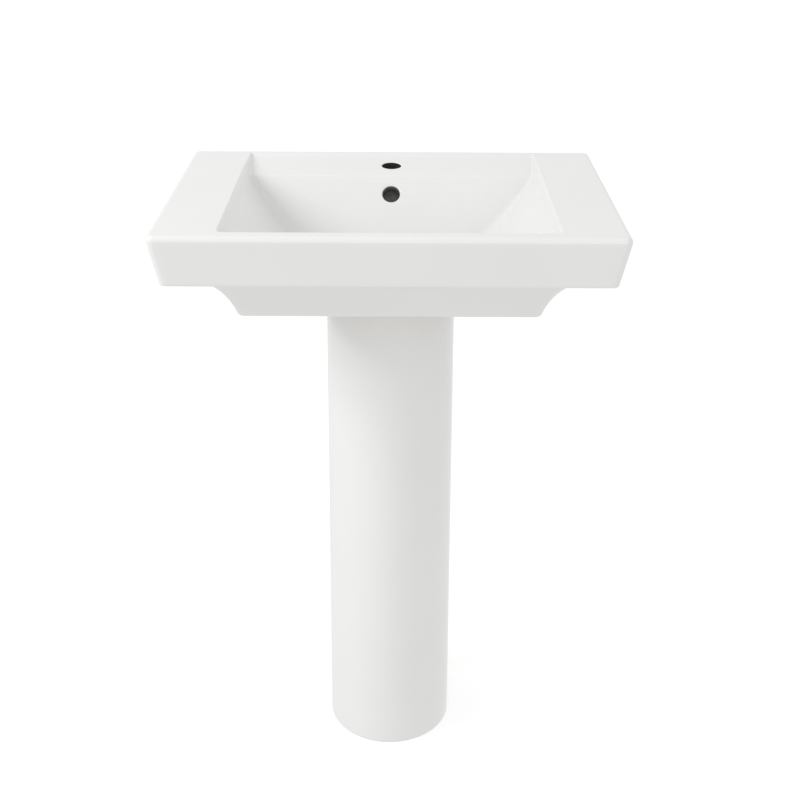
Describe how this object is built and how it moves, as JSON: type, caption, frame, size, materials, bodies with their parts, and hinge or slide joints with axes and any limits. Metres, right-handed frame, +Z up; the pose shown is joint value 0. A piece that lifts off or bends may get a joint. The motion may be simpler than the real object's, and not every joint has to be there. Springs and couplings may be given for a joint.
{
  "type": "pedestal sink",
  "caption": "Rectangular china basin with a tap ledge and one tap hole, standing on a half-round china pedestal that hides the push-open drain and the trap.",
  "frame": {"origin": "on the floor, below the middle of the basin's outline", "axes": "+X to the user's right when facing the basin, +Y back to the wall, +Z up"},
  "size_m": [0.61, 0.508, 0.87],
  "materials": {
    "china": "gloss",
    "chrome": "polished",
    "brass": "satin",
    "rubber": "matte",
    "plastic": "satin",
    "spring_steel": "satin"
  },
  "bodies": {
    "sink": {"basin": "china", "pedestal": "china", "drain_body": "chrome", "tailpiece": "chrome", "trap_bend": "chrome", "trap_inlet_nut": "chrome", "trap_union_nut": "chrome", "trap_arm": "chrome", "cleanout_plug": "chrome", "wall_escutcheon": "chrome", "drain_nut": "brass", "drain_flange_seal": "rubber", "drain_gasket": "rubber", "trap_inlet_washer": "rubber", "trap_union_washer": "rubber", "cleanout_gasket": "rubber", "drain_friction_ring": "plastic", "stopper_cartridge": "plastic", "stopper_spring": "spring_steel"},
    "stopper": {"stopper_cap": "chrome", "stopper_seal": "rubber", "stopper_stem": "brass"}
  },
  "joints": [
    {"name": "stopper_push", "type": "slide", "parent": "sink", "child": "stopper", "axis": [0, 0, 1], "range_m": [-0.009, 0], "deforming": ["stopper_spring"]}
  ]
}
